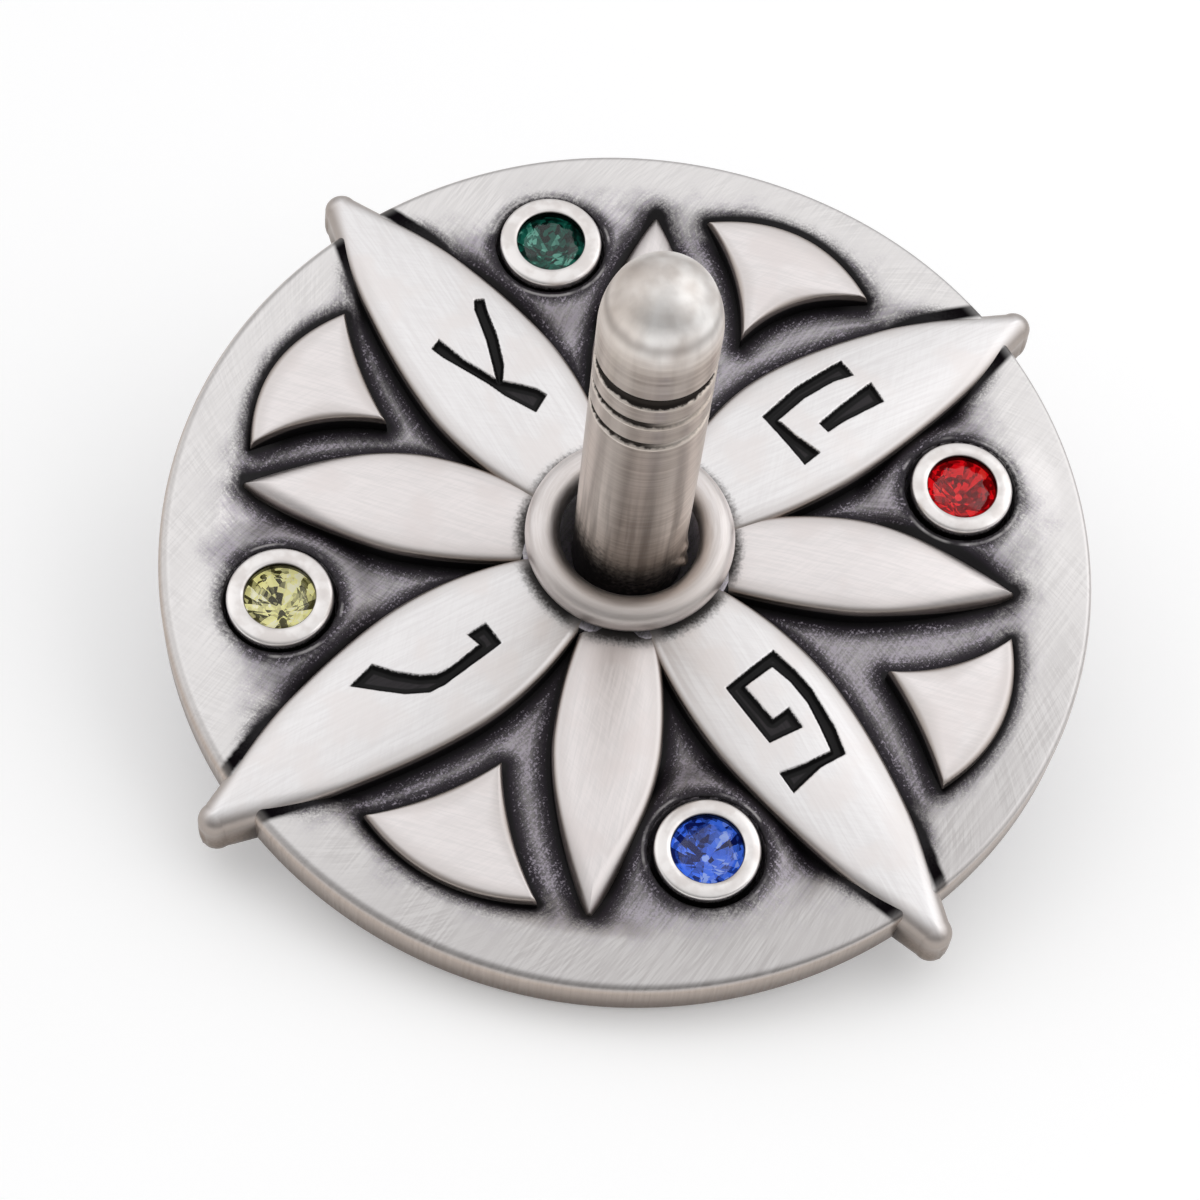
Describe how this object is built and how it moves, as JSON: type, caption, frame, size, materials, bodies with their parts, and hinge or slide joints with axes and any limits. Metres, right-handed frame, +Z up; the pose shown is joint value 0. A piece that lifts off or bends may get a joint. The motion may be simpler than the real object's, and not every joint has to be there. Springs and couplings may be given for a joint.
{
  "type": "dreidel",
  "caption": "Flat spinning dreidel: cast disc with a raised petal rosette, set stones, a collar ring and an upright grooved handle, spinning on a pointed foot.",
  "frame": {"origin": "the lowest point of the spindle's foot, on the spin axis", "axes": "+Z up along the spin axis, from the pointed foot to the domed handle; +X towards the plain petal next to the red stone"},
  "size_m": [0.05, 0.05, 0.0376],
  "materials": {
    "pewter": "hand-brushed satin, dark patina in the recesses",
    "worn_pewter": "turned satin, warmer than the casting",
    "red_glass": "cut and polished",
    "green_glass": "cut and polished",
    "yellow_glass": "cut and polished",
    "blue_glass": "cut and polished"
  },
  "bodies": {
    "root": {"disc": "pewter", "spindle": "worn_pewter", "collar_ring": "pewter", "bezel_red": "pewter", "bezel_green": "pewter", "bezel_yellow": "pewter", "bezel_blue": "pewter", "stone_red": "red_glass", "stone_green": "green_glass", "stone_yellow": "yellow_glass", "stone_blue": "blue_glass"}
  },
  "joints": []
}
